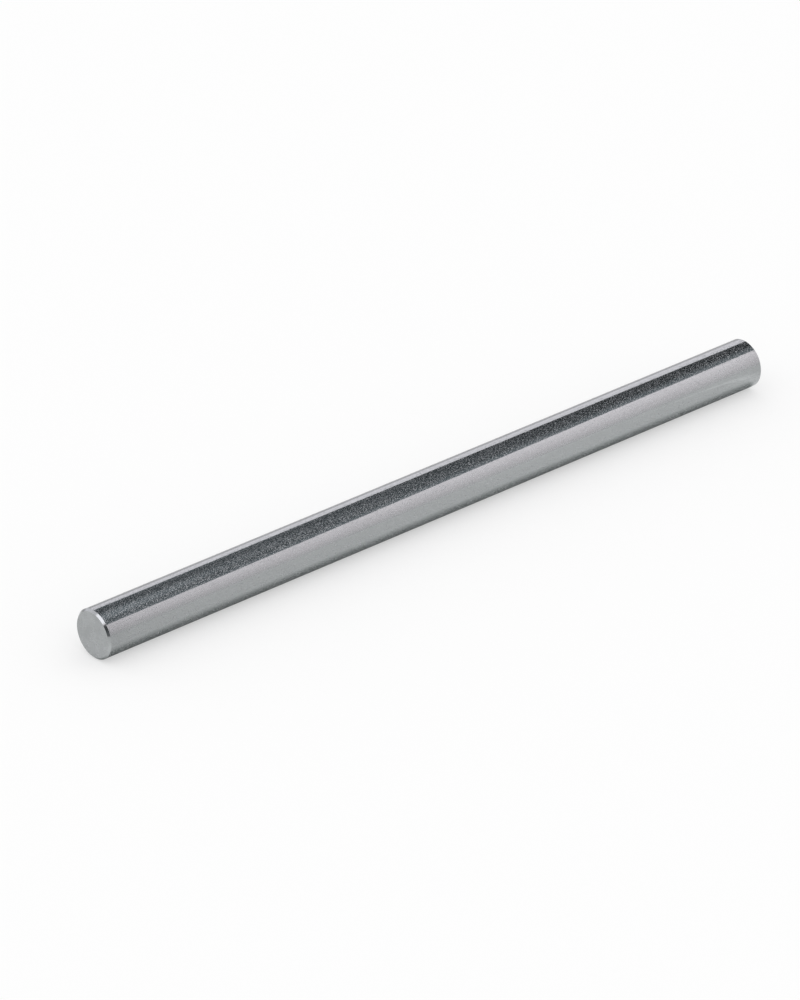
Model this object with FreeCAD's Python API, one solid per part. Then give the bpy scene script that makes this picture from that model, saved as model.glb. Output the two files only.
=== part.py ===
"""A round mounting rod: one length of round steel bar, faced square and chamfered at both ends.

Millimetres. The rod lies along X on the plane z = 0, with the origin under the middle of its length.
"""

import FreeCAD
import Part

import math
import os

# The bar that the rod is cut from
rod_diameter = 12.0
rod_length = 200.0

# The turned end: the chamfer runs this far along the rod, at this angle to its axis
chamfer_length = 0.5
chamfer_angle = 45.0

rod_radius = rod_diameter / 2
chamfer_depth = chamfer_length * math.tan(math.radians(chamfer_angle))
face_radius = rod_radius - chamfer_depth
half_length = rod_length / 2

# The lowest line of the rod touches z = 0
axis_height = rod_radius
axis_middle = FreeCAD.Vector(0, 0, axis_height)
along_rod = FreeCAD.Vector(1, 0, 0)


def section_point(x, radius):
    """A point of the rod's lengthwise half section, at a distance from its axis."""
    return axis_middle + FreeCAD.Vector(x, 0, radius)


def half_section():
    """The face between the axis and the outline of the rod, from one end to the other."""
    shoulder = half_length - chamfer_length
    outline = [
        section_point(-half_length, 0),
        section_point(-half_length, face_radius),
        section_point(-shoulder, rod_radius),
        section_point(shoulder, rod_radius),
        section_point(half_length, face_radius),
        section_point(half_length, 0),
    ]
    return Part.Face(Part.makePolygon(outline + outline[:1]))


def make_rod():
    """The bar turned to its section about its own axis."""
    return half_section().revolve(axis_middle, along_rod, 360)


def main():
    os.makedirs("parts", exist_ok=True)
    rod = make_rod()
    if not (rod.isValid() and len(rod.Solids) == 1):
        raise ValueError("the rod is not one valid solid")
    rod.Solids[0].exportStep("parts/rod.step")


main()
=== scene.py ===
"""A satin steel mounting rod on a pale studio floor, laid out as an add-on and run as a script.

Metres, +Z up. The rod lies along X on the floor, with the origin under the middle of its length.
"""

import math

import bpy
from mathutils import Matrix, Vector


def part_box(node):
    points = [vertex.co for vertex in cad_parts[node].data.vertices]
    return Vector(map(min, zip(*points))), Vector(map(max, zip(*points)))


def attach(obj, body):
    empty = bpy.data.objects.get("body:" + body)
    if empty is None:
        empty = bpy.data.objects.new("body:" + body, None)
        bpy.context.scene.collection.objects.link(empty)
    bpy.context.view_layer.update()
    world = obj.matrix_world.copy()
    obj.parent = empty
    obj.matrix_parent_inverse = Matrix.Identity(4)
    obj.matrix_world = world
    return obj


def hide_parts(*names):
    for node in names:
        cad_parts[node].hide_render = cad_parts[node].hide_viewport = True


bl_info = {
    "name": "Mounting rod",
    "version": (1, 0, 0),
    "blender": (4, 5, 0),
    "location": "3D View > Sidebar > Mounting rod",
    "description": "Builds a round steel mounting rod and its studio",
    "category": "Object",
}

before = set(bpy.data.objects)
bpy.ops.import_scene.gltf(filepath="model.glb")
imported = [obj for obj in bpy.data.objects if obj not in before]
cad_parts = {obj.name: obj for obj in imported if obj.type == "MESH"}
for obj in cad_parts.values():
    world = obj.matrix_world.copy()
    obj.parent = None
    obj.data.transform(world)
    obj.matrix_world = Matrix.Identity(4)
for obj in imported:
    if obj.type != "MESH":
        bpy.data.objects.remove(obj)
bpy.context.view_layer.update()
rod_low, rod_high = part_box("rod")

millimetre = 0.001
rod_length = rod_high.x - rod_low.x
rod_radius = (rod_high.z - rod_low.z) / 2
axis_height = rod_low.z + rod_radius
end_distance = rod_length / 2


# Shader values as Python expressions


class Shade:
    """A socket of a node tree. Arithmetic on it adds the Math nodes."""

    def __init__(self, tree, socket=None):
        self.tree = tree
        self.socket = socket

    def feed(self, socket, value):
        """Links a shade to a socket, or sets the socket to a plain value."""
        if isinstance(value, Shade):
            self.tree.links.new(value.socket, socket)
        else:
            socket.default_value = value

    def node(self, kind, settings=None, inputs=None, output=0):
        """Adds a node, with its settings first, then the values or links of its sockets."""
        node = self.tree.nodes.new(kind)
        for name, setting in (settings or {}).items():
            setattr(node, name, setting)
        sockets = {socket.identifier: socket for socket in node.inputs}
        for name, value in (inputs or {}).items():
            self.feed(sockets[name], value)
        outputs = {socket.identifier: socket for socket in node.outputs}
        found = outputs[output] if isinstance(output, str) else node.outputs[output]
        return Shade(self.tree, found)

    def math(self, operation, *values):
        """A Math node on one or two values."""
        names = ("Value", "Value_001")
        return self.node("ShaderNodeMath", {"operation": operation}, dict(zip(names, values)))

    def __add__(self, other):
        return self.math("ADD", self, other)

    def __radd__(self, other):
        return self.math("ADD", other, self)

    def __sub__(self, other):
        return self.math("SUBTRACT", self, other)

    def __rsub__(self, other):
        return self.math("SUBTRACT", other, self)

    def __mul__(self, other):
        return self.math("MULTIPLY", self, other)

    def __rmul__(self, other):
        return self.math("MULTIPLY", other, self)

    def __truediv__(self, other):
        return self.math("DIVIDE", self, other)

    def __rtruediv__(self, other):
        return self.math("DIVIDE", other, self)

    def __pow__(self, other):
        return self.math("POWER", self, other)

    def __rpow__(self, other):
        return self.math("POWER", other, self)

    def __abs__(self):
        return self.math("ABSOLUTE", self)

    def step(self, low, high):
        """0 up to low, 1 from high, and smooth between them. Low may be the larger."""
        inputs = {"Value": self, "From Min": low, "From Max": high, "To Min": 0.0, "To Max": 1.0}
        return self.node("ShaderNodeMapRange", {"interpolation_type": "SMOOTHSTEP"}, inputs)

    def vector(self, operation, *values, **inputs):
        """A Vector Math node on one or two vectors."""
        names = ("Vector", "Vector_001")
        sockets = {**dict(zip(names, values)), **inputs}
        return self.node("ShaderNodeVectorMath", {"operation": operation}, sockets)

    def split(self):
        """The X, Y and Z of a vector."""
        parts = self.node("ShaderNodeSeparateXYZ", inputs={"Vector": self})
        return [Shade(self.tree, socket) for socket in parts.socket.node.outputs]

    def join(self, x, y, z):
        """A vector of three values."""
        return self.node("ShaderNodeCombineXYZ", inputs={"X": x, "Y": y, "Z": z})

    def blend(self, first, second, share):
        """The first colour, turning to the second as the share goes from 0 to 1."""
        inputs = {"Factor_Float": share, "A_Color": first, "B_Color": second}
        return self.node("ShaderNodeMix", {"data_type": "RGBA"}, inputs, "Result_Color")

    def scaled(self, rgb, factor):
        """A colour or vector times a value."""
        return self.vector("SCALE", rgb, Scale=factor)

    def noise(self, place, size, detail, output="Fac"):
        """Soft noise whose lumps are about this far apart."""
        inputs = {"Vector": place, "Scale": 1 / size, "Detail": detail}
        return self.node("ShaderNodeTexNoise", {}, inputs, output)

    def stretched(self, place, along, across):
        """The place, scaled so that noise of size 1 is this long along the rod and across it."""
        scale = (1 / along, 1 / across, 1 / across)
        return self.vector("MULTIPLY", place, scale)

    def show(self, kind="ShaderNodeOutputMaterial"):
        """Makes this shader the one that its material or world shows."""
        output = self.tree.nodes.new(kind)
        self.tree.links.new(self.socket, output.inputs["Surface"])


def colour(rgb):
    """An opaque colour for a socket."""
    return (*rgb, 1.0)


def new_material(name):
    """An empty material, and the shade that adds nodes to it."""
    material = bpy.data.materials.new(name)
    material.use_nodes = True
    material.node_tree.nodes.clear()
    return material, Shade(material.node_tree)


def rod_place(shade):
    """The place on the rod from the middle of its axis, in millimetres."""
    here = shade.node("ShaderNodeTexCoord", output="Object")
    centred = shade.vector("SUBTRACT", here, (0.0, 0.0, axis_height))
    return shade.scaled(centred, 1 / millimetre)


def metal(shade, rgb, tone, roughness, normal):
    """A shader of bare metal, its colour times a tone."""
    inputs = {
        "Base Color": shade.scaled(rgb, tone),
        "Metallic": 1.0,
        "Roughness": roughness,
        "Normal": normal,
    }
    return shade.node("ShaderNodeBsdfPrincipled", {}, inputs)


# Settings


class RodSettings(bpy.types.PropertyGroup):
    """The sizes and the finish of the rod."""

    chamfer: bpy.props.FloatProperty(
        name="Chamfer",
        description="How far the chamfer runs along the rod",
        default=0.5 * millimetre,
        min=0.0,
        unit="LENGTH",
    )
    edge_radius: bpy.props.FloatProperty(
        name="Edge radius",
        description="The radius left on both edges of each chamfer",
        default=0.03 * millimetre,
        min=0.0,
        unit="LENGTH",
    )
    steps_round: bpy.props.IntProperty(
        name="Steps round",
        description="Faces round the rod",
        default=240,
        min=24,
    )
    steel: bpy.props.FloatVectorProperty(
        name="Steel",
        description="Colour of the steel",
        default=(0.358, 0.372, 0.376),
        min=0.0,
        max=1.0,
        subtype="COLOR",
    )
    gloss: bpy.props.FloatProperty(
        name="Roughness",
        description="Roughness of the steel between its grains",
        default=0.07,
        min=0.0,
        max=1.0,
        subtype="FACTOR",
    )
    grain: bpy.props.FloatProperty(
        name="Grain",
        description="Size of the grains in the satin surface",
        default=0.16 * millimetre,
        min=0.01 * millimetre,
        unit="LENGTH",
    )


class StudioSettings(bpy.types.PropertyGroup):
    """The floor and the light."""

    floor: bpy.props.FloatVectorProperty(
        name="Floor",
        description="Colour of the floor",
        default=(0.93, 0.93, 0.93),
        min=0.0,
        max=1.0,
        subtype="COLOR",
    )
    plain_light: bpy.props.FloatProperty(
        name="Light",
        description="Brightness of the light from all round, which the floor is lit by",
        default=1.06,
        min=0.0,
    )
    low_light: bpy.props.FloatProperty(
        name="Horizon in the metal",
        description="Brightness of the surroundings that the metal shows at the height of the floor",
        default=1.0,
        min=0.0,
    )
    high_light: bpy.props.FloatProperty(
        name="Front in the metal",
        description="Brightness of the front light that the metal shows at 50 degrees up",
        default=1.7,
        min=0.0,
    )
    back_light: bpy.props.FloatProperty(
        name="Back in the metal",
        description="Brightness of the back light that the metal shows at 20 degrees up",
        default=1.56,
        min=0.0,
    )


# The shape of the rod

chamfer_angle = 45.0

# The faces have rings at these shares of the way out, and the skin has this many parts
face_rings = (0.0, 0.3, 0.6, 0.9)
skin_parts = 60

# A rounded edge has this many steps, and this far from it a ring keeps the flat beside it flat
edge_steps = 4
hold = 0.04 * millimetre

# The distance between the pieces of the surface when it is laid out flat
gap = 1.0 * millimetre


def arc(centre, radius, start, end, steps):
    """Points of a circular arc in the lengthwise section, angles in degrees."""
    points = []
    for step in range(steps + 1):
        angle = math.radians(start + (end - start) * step / steps)
        points.append((centre[0] + radius * math.cos(angle), centre[1] + radius * math.sin(angle)))
    return points


def end_profile(chamfer, edge_radius):
    """The section of the near end as (distance along the rod, distance from the axis).

    A ring close to each side of a rounded edge keeps the shading of the flat beside it flat.
    """
    reach = edge_radius * math.tan(math.radians(chamfer_angle / 2))
    slope_hold = (reach + hold) * math.cos(math.radians(chamfer_angle))
    slope = 180.0 - chamfer_angle
    face = -end_distance
    rim = rod_radius - chamfer
    shoulder = face + chamfer
    rings = [(face, rim * share) for share in face_rings]
    rings.append((face, rim - reach - hold))
    rings += arc((face + edge_radius, rim - reach), edge_radius, 180.0, slope, edge_steps)
    rings.append((face + slope_hold, rim + slope_hold))
    rings.append((shoulder - slope_hold, rod_radius - slope_hold))
    rings += arc((shoulder + reach, rod_radius - edge_radius), edge_radius, slope, 90.0, edge_steps)
    rings.append((shoulder + reach + hold, rod_radius))
    return rings


def rod_profile(settings):
    """The whole section of the rod, from the middle of one face to the middle of the other."""
    near = end_profile(settings.chamfer, settings.edge_radius)
    start = near[-1][0]
    skin = [(start * (1 - 2 * part / skin_parts), rod_radius) for part in range(1, skin_parts)]
    far = [(-x, radius) for x, radius in reversed(near)]
    return near + skin + far


def turned_mesh(name, profile, steps_round):
    """A closed mesh turned from a section. The first and last points lie on the axis."""
    vertices = [(profile[0][0], 0.0, axis_height)]
    for x, radius in profile[1:-1]:
        for step in range(steps_round):
            angle = 2 * math.pi * step / steps_round
            vertices.append((x, radius * math.sin(angle), axis_height - radius * math.cos(angle)))
    vertices.append((profile[-1][0], 0.0, axis_height))
    faces = []
    rings = len(profile) - 2
    last = len(vertices) - 1
    for step in range(steps_round):
        after = (step + 1) % steps_round
        faces.append((0, 1 + after, 1 + step))
        for ring in range(rings - 1):
            low = 1 + ring * steps_round
            high = low + steps_round
            faces.append((low + step, low + after, high + after, high + step))
        low = 1 + (rings - 1) * steps_round
        faces.append((low + step, low + after, last))
    mesh = bpy.data.meshes.new(name)
    mesh.from_pydata(vertices, [], faces)
    mesh.update()
    return mesh


def lay_out_flat(mesh, profile, steps_round):
    """Lays the surface out flat, to scale: the skin in three strips, and the faces beside them."""
    plane_thickness = 1e-7
    strips = 3
    round_length = 2 * math.pi * rod_radius
    cuts = [index for index, (x, radius) in enumerate(profile) if radius == rod_radius]
    first, last = cuts[0], cuts[-1]
    starts = [1] + [first + part * (last - first) // strips for part in range(1, strips)]
    along = [0.0]
    for here, following in zip(profile, profile[1:]):
        along.append(along[-1] + math.dist(here, following))
    side = strips * round_length + (strips + 1) * gap
    column = side - gap - rod_radius
    layer = mesh.uv_layers.new(name="OFBake")
    for polygon in mesh.polygons:
        places = [mesh.vertices[index].co for index in polygon.vertices]
        on_face = all(abs(abs(place.x) - end_distance) < plane_thickness for place in places)
        rings = [(index - 1) // steps_round + 1 for index in polygon.vertices]
        steps = [(index - 1) % steps_round for index in polygon.vertices]
        wraps = max(steps) - min(steps) > 1
        strip = sum(min(rings) >= start for start in starts[1:])
        for loop, place, ring, step in zip(polygon.loop_indices, places, rings, steps):
            if on_face:
                row = gap + rod_radius + (place.x > 0) * (2 * rod_radius + gap)
                spot = (column + place.y, row + place.z - axis_height)
            else:
                turned = steps_round if wraps and step == 0 else step
                spot = (
                    gap + along[ring] - along[starts[strip]],
                    gap + strip * (round_length + gap) + round_length * turned / steps_round,
                )
            layer.data[loop].uv = (spot[0] / side, spot[1] / side)


# The finish of the rod, in millimetres. A pair is a length along the rod and one across it.

grain_stretch = 1.4
grain_detail = 1.0
streak_size = (30.0, 0.5)
cloud_size = (9.0, 4.0)
lump_size = 2.2
fine_size = 0.3
ring_spacing = 0.12

# Grain lies where the noise is above this level. The tone is balanced for this share of grain.
grain_level = 0.572
grain_share = 0.3
grain_roughness = 0.75

# How far the changes along the rod reach, from the near face or from both
near_reach = 45.0
far_start = 40.0
far_reach = 140.0
end_reach = 8.0


def satin_grain(shade, place, size, denser):
    """1 on the rough grains and 0 between them. More of the surface is grain where denser is larger."""
    lumps = shade.noise(shade.stretched(place, grain_stretch * size, size), 1.0, grain_detail)
    least = grain_level - denser
    edge = 0.03
    return lumps.step(least, least + edge)


def leaning_normal(shade, place, size):
    """The normal of the surface, leaning a little one way and another."""
    most = 0.02
    normal = shade.node("ShaderNodeNewGeometry", output="Normal")
    wander = shade.noise(place, grain_stretch * size, grain_detail, output="Color")
    lean = shade.vector("SUBTRACT", wander, (0.5, 0.5, 0.5))
    return shade.vector("NORMALIZE", shade.vector("ADD", normal, shade.scaled(lean, most)))


def satin_steel(settings):
    """The steel of the round: smooth, with fine rough grains that catch the light, and painted glints on
    the grains along the upper front.
    """
    material, shade = new_material("satin_steel")
    place = rod_place(shade)
    x, y, z = place.split()
    end = end_distance / millimetre
    near_end = x.step(near_reach - end, -end)
    far_end = x.step(far_start - end, far_reach - end)
    at_end = abs(x).step(end - end_reach, end)
    below = z.step(-0.3, -1.8)

    # The grains lie denser along the upper front, and their colour is painted brighter there as painted
    # glints, less so towards the far end
    before_top = y.step(-1.0, -2.6)
    calmer = 0.5 * far_end * y.step(-4.6, -3.9)
    on_front = y.step(-5.8, -4.9) * before_top * (1.0 - calmer)
    on_top = y.step(-4.2, -2.9) * before_top * (1.0 - far_end)
    size = settings.grain / millimetre
    denser = on_top * (0.024 + 0.018 * near_end)
    grain = satin_grain(shade, place, size, denser)
    # Painted glints: beyond their own contrast, the grains' colour is brighter along the upper front
    brighter = 0.27 + 0.38 * on_front + 0.25 * on_top * near_end

    # Long streaks and faint clouds, and a skin that is darker at the ends, and painted paler far along
    # its front side as a painted brighter reflection of the floor
    streak = shade.noise(shade.stretched(place, *streak_size), 1.0, 2.0) - 0.5
    cloud = shade.noise(shade.stretched(place, *cloud_size), 1.0, 2.0) - 0.5
    streak_depth = 0.05 + 0.08 * near_end + 0.12 * below
    cloud_depth = 0.06
    # Painted reflection: the front side is paler far along, so the floor it reflects looks brighter; the
    # ends are darker
    paler = 0.05 * (far_end * y.step(0.5, -1.5) - near_end - at_end)

    tone = 1.0 + brighter * (grain - grain_share) + paler
    tone = tone + streak_depth * streak + cloud_depth * cloud
    roughness = settings.gloss + grain_roughness * grain
    metal(shade, tuple(settings.steel), tone, roughness, leaning_normal(shade, place, size)).show()
    return material


def turned_steel(settings):
    """The steel of the faces and chamfers, mottled, with faint rings from the turning."""
    material, shade = new_material("turned_steel")
    place = rod_place(shade)
    x, y, z = place.split()
    from_axis = (y * y + z * z) ** 0.5
    rim = (rod_radius - settings.chamfer) / millimetre
    blur = 0.02
    on_chamfer = from_axis.step(rim - blur, rim + blur)
    ring = shade.noise(shade.join(x, from_axis, 0.0), ring_spacing, 2.0)
    lump = shade.noise(place, lump_size, 3.0)
    fine = shade.noise(place, fine_size, 1.0)
    depth = 0.003 * millimetre
    relief = {"Strength": 0.25, "Distance": depth, "Height": ring + 0.5 * lump}
    bump = shade.node("ShaderNodeBump", {}, relief)
    tone = 0.95 + 0.36 * (lump - 0.5) + 0.05 * (fine - 0.5) + 0.04 * (ring - 0.5)
    roughness = 0.27 + 0.08 * (lump - 0.5) - 0.15 * on_chamfer
    metal(shade, tuple(settings.steel), tone, roughness, bump).show()
    return material


def make_rod(settings):
    """The rod with its finishes, in place of the plain solid."""
    profile = rod_profile(settings)
    mesh = turned_mesh("mounting_rod", profile, settings.steps_round)
    lay_out_flat(mesh, profile, settings.steps_round)
    rod = bpy.data.objects.new("mounting_rod", mesh)
    bpy.context.scene.collection.objects.link(rod)
    mesh.materials.append(satin_steel(settings))
    mesh.materials.append(turned_steel(settings))
    edge = end_distance - settings.chamfer
    for face in mesh.polygons:
        face.use_smooth = True
        face.material_index = int(abs(face.center.x) > edge)
    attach(rod, "root")
    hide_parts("rod")


# The studio, in metres

# In the metal the floor is painted darkest, as a painted shadow, up to the first of these distances from
# the line on which the rod lies, and pale from the second
painted_shadow_core = 0.0035
painted_shadow_reach = 0.01

# The dark sheet above the rod. Its front and back edges run straight along the rod up to these
# half lengths, and then on sloping lines that would cross x = 0 at front_middle and back_middle.
flag_height = 0.4
flag_left = -0.42
front_half = 0.2
front_slope = 0.88
front_middle = -0.514
back_half = 0.33
back_slope = -0.765
back_middle = 0.808

# The upright sheets beyond the near end: the bright one reaches higher than the dark one
panel_x = -0.45
panel_low = 0.242
panel_high = 0.6
side_flag_x = -0.47
side_flag_high = 0.232

# The camera, with its lens and the width of its sensor in millimetres
camera_place = Vector((-0.83684, -0.94071, 0.68259))
camera_aim = Vector((-0.00778, 0.00228, 0.006))
camera_lens = 223.99
camera_width = 36.0


def sheet(name, corners, material):
    """A flat sheet with these corners."""
    mesh = bpy.data.meshes.new(name)
    mesh.from_pydata(corners, [], [tuple(range(len(corners)))])
    mesh.update()
    mesh.materials.append(material)
    obj = bpy.data.objects.new(name, mesh)
    bpy.context.scene.collection.objects.link(obj)
    return obj


def upright(x, front, back, low, high):
    """The corners of an upright sheet that faces along the rod."""
    return [(x, front, low), (x, back, low), (x, back, high), (x, front, high)]


def make_reflected_sheet(name, corners, tint, level):
    """A glowing sheet that shows in reflections, and neither blocks light nor hides the view.

    The level is a function of the place on the sheet, in metres.
    """
    material, shade = new_material(name)
    place = shade.node("ShaderNodeTexCoord", output="Object")
    glow = shade.scaled(tint, level(place))
    shade.node("ShaderNodeEmission", {}, {"Color": glow, "Strength": 1.0}).show()
    obj = sheet(name, corners, material)
    obj.visible_camera = False
    obj.visible_diffuse = False
    obj.visible_transmission = False
    obj.visible_volume_scatter = False
    obj.visible_shadow = False


def floor_in_metal(x, y):
    """The level at which the metal shows the floor, and the painted shadow that darkens it under the
    rod.

    The rod's own shade is taken off the floor with painted light, except close under the rod.
    """
    radii_squared = (y / rod_radius) ** 2.0
    # Painted light: in the metal the floor beside the rod is brightened to take off the rod's own shade
    painted_unshaded = (radii_squared + 1.0) / (radii_squared + 0.37)
    # Painted shadow: the floor is darker in the metal close under the rod
    painted_darkness = 0.77 * (1.0 - abs(y).step(painted_shadow_core, painted_shadow_reach))
    edge = 0.001
    before_end = abs(x).step(end_distance + edge, end_distance - edge)
    # Painted light: in the metal the floor just beyond the near face is brighter, taking off the shade
    # there
    painted_light_by_face = abs(x).step(end_distance + 0.012, end_distance) * y.step(0.014, -0.002)
    beside = before_end * painted_unshaded * (1.0 - painted_darkness)
    beyond = (1.0 - before_end) * (1.0 + 0.3 * painted_light_by_face)
    # Painted shade: in the metal the floor is darker behind the rod
    behind = y.step(0.03, 0.08)
    # Painted shadow of the side flag on the floor, seen only in the metal
    painted_flag_shadow = x.step(-0.145, -0.2) * y.step(-0.02, -0.05)
    shown = 1.045 * (beside + beyond) * (1.0 - 0.37 * behind) * (1.0 - 0.75 * painted_flag_shadow)
    return shown, painted_darkness * before_end


def make_floor(settings):
    """A pale matt floor. In the metal it is painted evenly pale up to the rod, with a painted shadow
    under it.
    """
    material, shade = new_material("studio_floor")
    x, y = shade.node("ShaderNodeTexCoord", output="Object").split()[:2]
    in_metal = shade.node("ShaderNodeLightPath", output="Is Glossy Ray")
    in_view = shade.node("ShaderNodeLightPath", output="Is Camera Ray")
    shown, painted_darkness = floor_in_metal(x, y)
    level = 1.0 + in_metal * (shown - 1.0)

    # The painted shadow under the rod is a little green in the metal
    painted_shadow_green = [part * share for part, share in zip(settings.floor, (0.92, 1.0, 0.97))]
    tint = shade.blend(colour(settings.floor), colour(painted_shadow_green), in_metal * painted_darkness)
    paint = {"Base Color": shade.scaled(tint, level), "Roughness": 1.0, "Specular IOR Level": 0.0}
    matt = shade.node("ShaderNodeBsdfPrincipled", {}, paint)

    # Half of what the camera sees is white, so that the floor is near white with a soft shadow
    glow = {"Color": colour((1.0, 1.0, 1.0)), "Strength": 0.99}
    white = shade.node("ShaderNodeEmission", {}, glow)
    halves = {"Fac": 0.5 * in_view, "Shader": matt, "Shader_001": white}
    shade.node("ShaderNodeMixShader", {}, halves).show()
    reach = 40.0
    corners = [(-reach, -reach, 0.0), (reach, -reach, 0.0), (reach, reach, 0.0), (-reach, reach, 0.0)]
    sheet("studio_floor", corners, material)


def fading(place, spot, stretch, reach):
    """1 at a spot, and 0 beyond its reach. The stretch scales the distances along X, Y and Z."""
    scaled_spot = tuple(part * scale for part, scale in zip(spot, stretch))
    sockets = {"Vector": place.vector("MULTIPLY", place, stretch), "Vector_001": scaled_spot}
    distance = place.node("ShaderNodeVectorMath", {"operation": "DISTANCE"}, sockets, "Value")
    return distance.step(reach, 0.0)


def front_edge(x):
    """The y of the overhead sheet's sloping front edge, for a number or a shade."""
    return front_slope * abs(x) + front_middle


def back_edge(x):
    """The y of the overhead sheet's sloping back edge, for a number or a shade."""
    return back_slope * abs(x) + back_middle


def overhead_level(place):
    """The level of the sheet above the rod: dark, and paler at two spots and along two edges."""
    x, y = place.split()[:2]
    narrow = fading(place, (0.1, -0.05, flag_height), (1.0, 0.5, 1.0), 0.125)
    broad = fading(place, (0.1, 0.05, flag_height), (1.0, 1.0, 1.0), 0.36)
    along_front = (y - front_edge(x)).step(0.26, 0.03)
    along_back = (back_edge(x) - y).step(0.45, 0.1) * abs(x).step(0.43, 0.3)
    dark = 0.045 + 0.03 * x.step(0.36, 0.22)
    return dark + 0.58 * narrow + 0.17 * broad + 0.28 * along_front + 0.16 * along_back


def make_overhead_flag():
    """The dark sheet above the rod, which its upper side reflects."""
    tip = (back_middle - front_middle) / (front_slope - back_slope)
    outline = [(x, front_edge(x)) for x in (flag_left, -front_half, front_half, tip)]
    outline += [(x, back_edge(x)) for x in (back_half, -back_half, flag_left)]
    corners = [(x, y, flag_height) for x, y in outline]
    make_reflected_sheet("overhead_flag", corners, (0.88, 1.0, 1.08), overhead_level)


def make_side_panel():
    """The bright panel beyond the near end, which the chamfer reflects. It is brightest at the front."""

    def level(place):
        return 1.25 + 1.15 * place.split()[1].step(0.27, 0.17)

    corners = upright(panel_x, -0.125, 1.75, panel_low, panel_high)
    make_reflected_sheet("side_panel", corners, (1.02, 1.0, 1.04), level)


def make_side_flag():
    """The dark sheet by the camera, which the chamfer reflects. It is paler near the floor."""

    def level(place):
        return 0.11 + 0.13 * place.split()[2].step(0.15, 0.03)

    corners = upright(side_flag_x, -0.4, -0.1, 0.0, side_flag_high)
    make_reflected_sheet("side_flag", corners, (0.95, 1.0, 1.03), level)


def make_surroundings(settings):
    """Soft light all round. The metal shows it brighter a little way up than at the horizon."""
    world = bpy.data.worlds.new("studio")
    bpy.context.scene.world = world
    world.use_nodes = True
    world.node_tree.nodes.clear()
    shade = Shade(world.node_tree)
    y, height = shade.node("ShaderNodeTexCoord", output="Generated").split()[1:]
    in_metal = shade.node("ShaderNodeLightPath", output="Is Glossy Ray")
    behind = y.step(-0.25, 0.25)
    rise = settings.high_light - settings.low_light
    front_level = settings.low_light + rise * height.step(0.0, 0.75)
    dim_horizon = 0.78
    back_level = settings.back_light - dim_horizon * height.step(0.26, 0.02)
    dim_top = 0.7 * height.step(0.75, 1.0)
    metal_level = front_level + behind * (back_level - front_level) - dim_top
    level = settings.plain_light + in_metal * (metal_level - settings.plain_light)
    white = colour((1.0, 1.0, 1.0))
    front_tint = shade.blend(white, colour((1.065, 1.0, 1.034)), height.step(-0.15, 0.35))
    metal_tint = shade.blend(front_tint, colour((1.03, 1.0, 1.048)), behind)
    tint = shade.blend(white, metal_tint, in_metal)
    light = {"Color": shade.scaled(tint, level), "Strength": 1.0}
    shade.node("ShaderNodeBackground", {}, light).show("ShaderNodeOutputWorld")


def make_camera():
    """The camera, at the angle from which the rod shows its near face."""
    data = bpy.data.cameras.new("camera")
    data.lens = camera_lens
    data.sensor_width = camera_width
    data.clip_end = 100.0
    camera = bpy.data.objects.new("camera", data)
    camera.location = camera_place
    camera.rotation_euler = (camera_aim - camera_place).to_track_quat("-Z", "Y").to_euler()
    bpy.context.scene.collection.objects.link(camera)
    bpy.context.scene.camera = camera


# Operators and the panel


class OBJECT_OT_make_mounting_rod(bpy.types.Operator):
    """Builds the rod with its chamfered ends and its satin finish"""

    bl_idname = "object.make_mounting_rod"
    bl_label = "Make the rod"

    def execute(self, context):
        make_rod(context.scene.mounting_rod)
        return {"FINISHED"}


class OBJECT_OT_make_rod_studio(bpy.types.Operator):
    """Sets the floor, the light and the camera round the rod"""

    bl_idname = "object.make_rod_studio"
    bl_label = "Make the studio"

    def execute(self, context):
        settings = context.scene.rod_studio
        make_floor(settings)
        make_overhead_flag()
        make_side_panel()
        make_side_flag()
        make_surroundings(settings)
        make_camera()
        context.scene.view_settings.view_transform = "Standard"
        return {"FINISHED"}


class VIEW3D_PT_mounting_rod(bpy.types.Panel):
    """Lists the steps that build the rod and its studio"""

    bl_idname = "VIEW3D_PT_mounting_rod"
    bl_label = "Mounting rod"
    bl_space_type = "VIEW_3D"
    bl_region_type = "UI"
    bl_category = "Mounting rod"

    def draw(self, context):
        for settings in (context.scene.mounting_rod, context.scene.rod_studio):
            for name in settings.bl_rna.properties.keys():
                if name not in ("rna_type", "name"):
                    self.layout.prop(settings, name)
        self.layout.operator("object.make_mounting_rod")
        self.layout.operator("object.make_rod_studio")


classes = (
    RodSettings,
    StudioSettings,
    OBJECT_OT_make_mounting_rod,
    OBJECT_OT_make_rod_studio,
    VIEW3D_PT_mounting_rod,
)


def register():
    for each in classes:
        bpy.utils.register_class(each)
    bpy.types.Scene.mounting_rod = bpy.props.PointerProperty(type=RodSettings)
    bpy.types.Scene.rod_studio = bpy.props.PointerProperty(type=StudioSettings)


def unregister():
    del bpy.types.Scene.rod_studio
    del bpy.types.Scene.mounting_rod
    for each in reversed(classes):
        bpy.utils.unregister_class(each)


def main():
    register()
    bpy.ops.object.make_mounting_rod()
    bpy.ops.object.make_rod_studio()


if __name__ == "__main__":
    main()
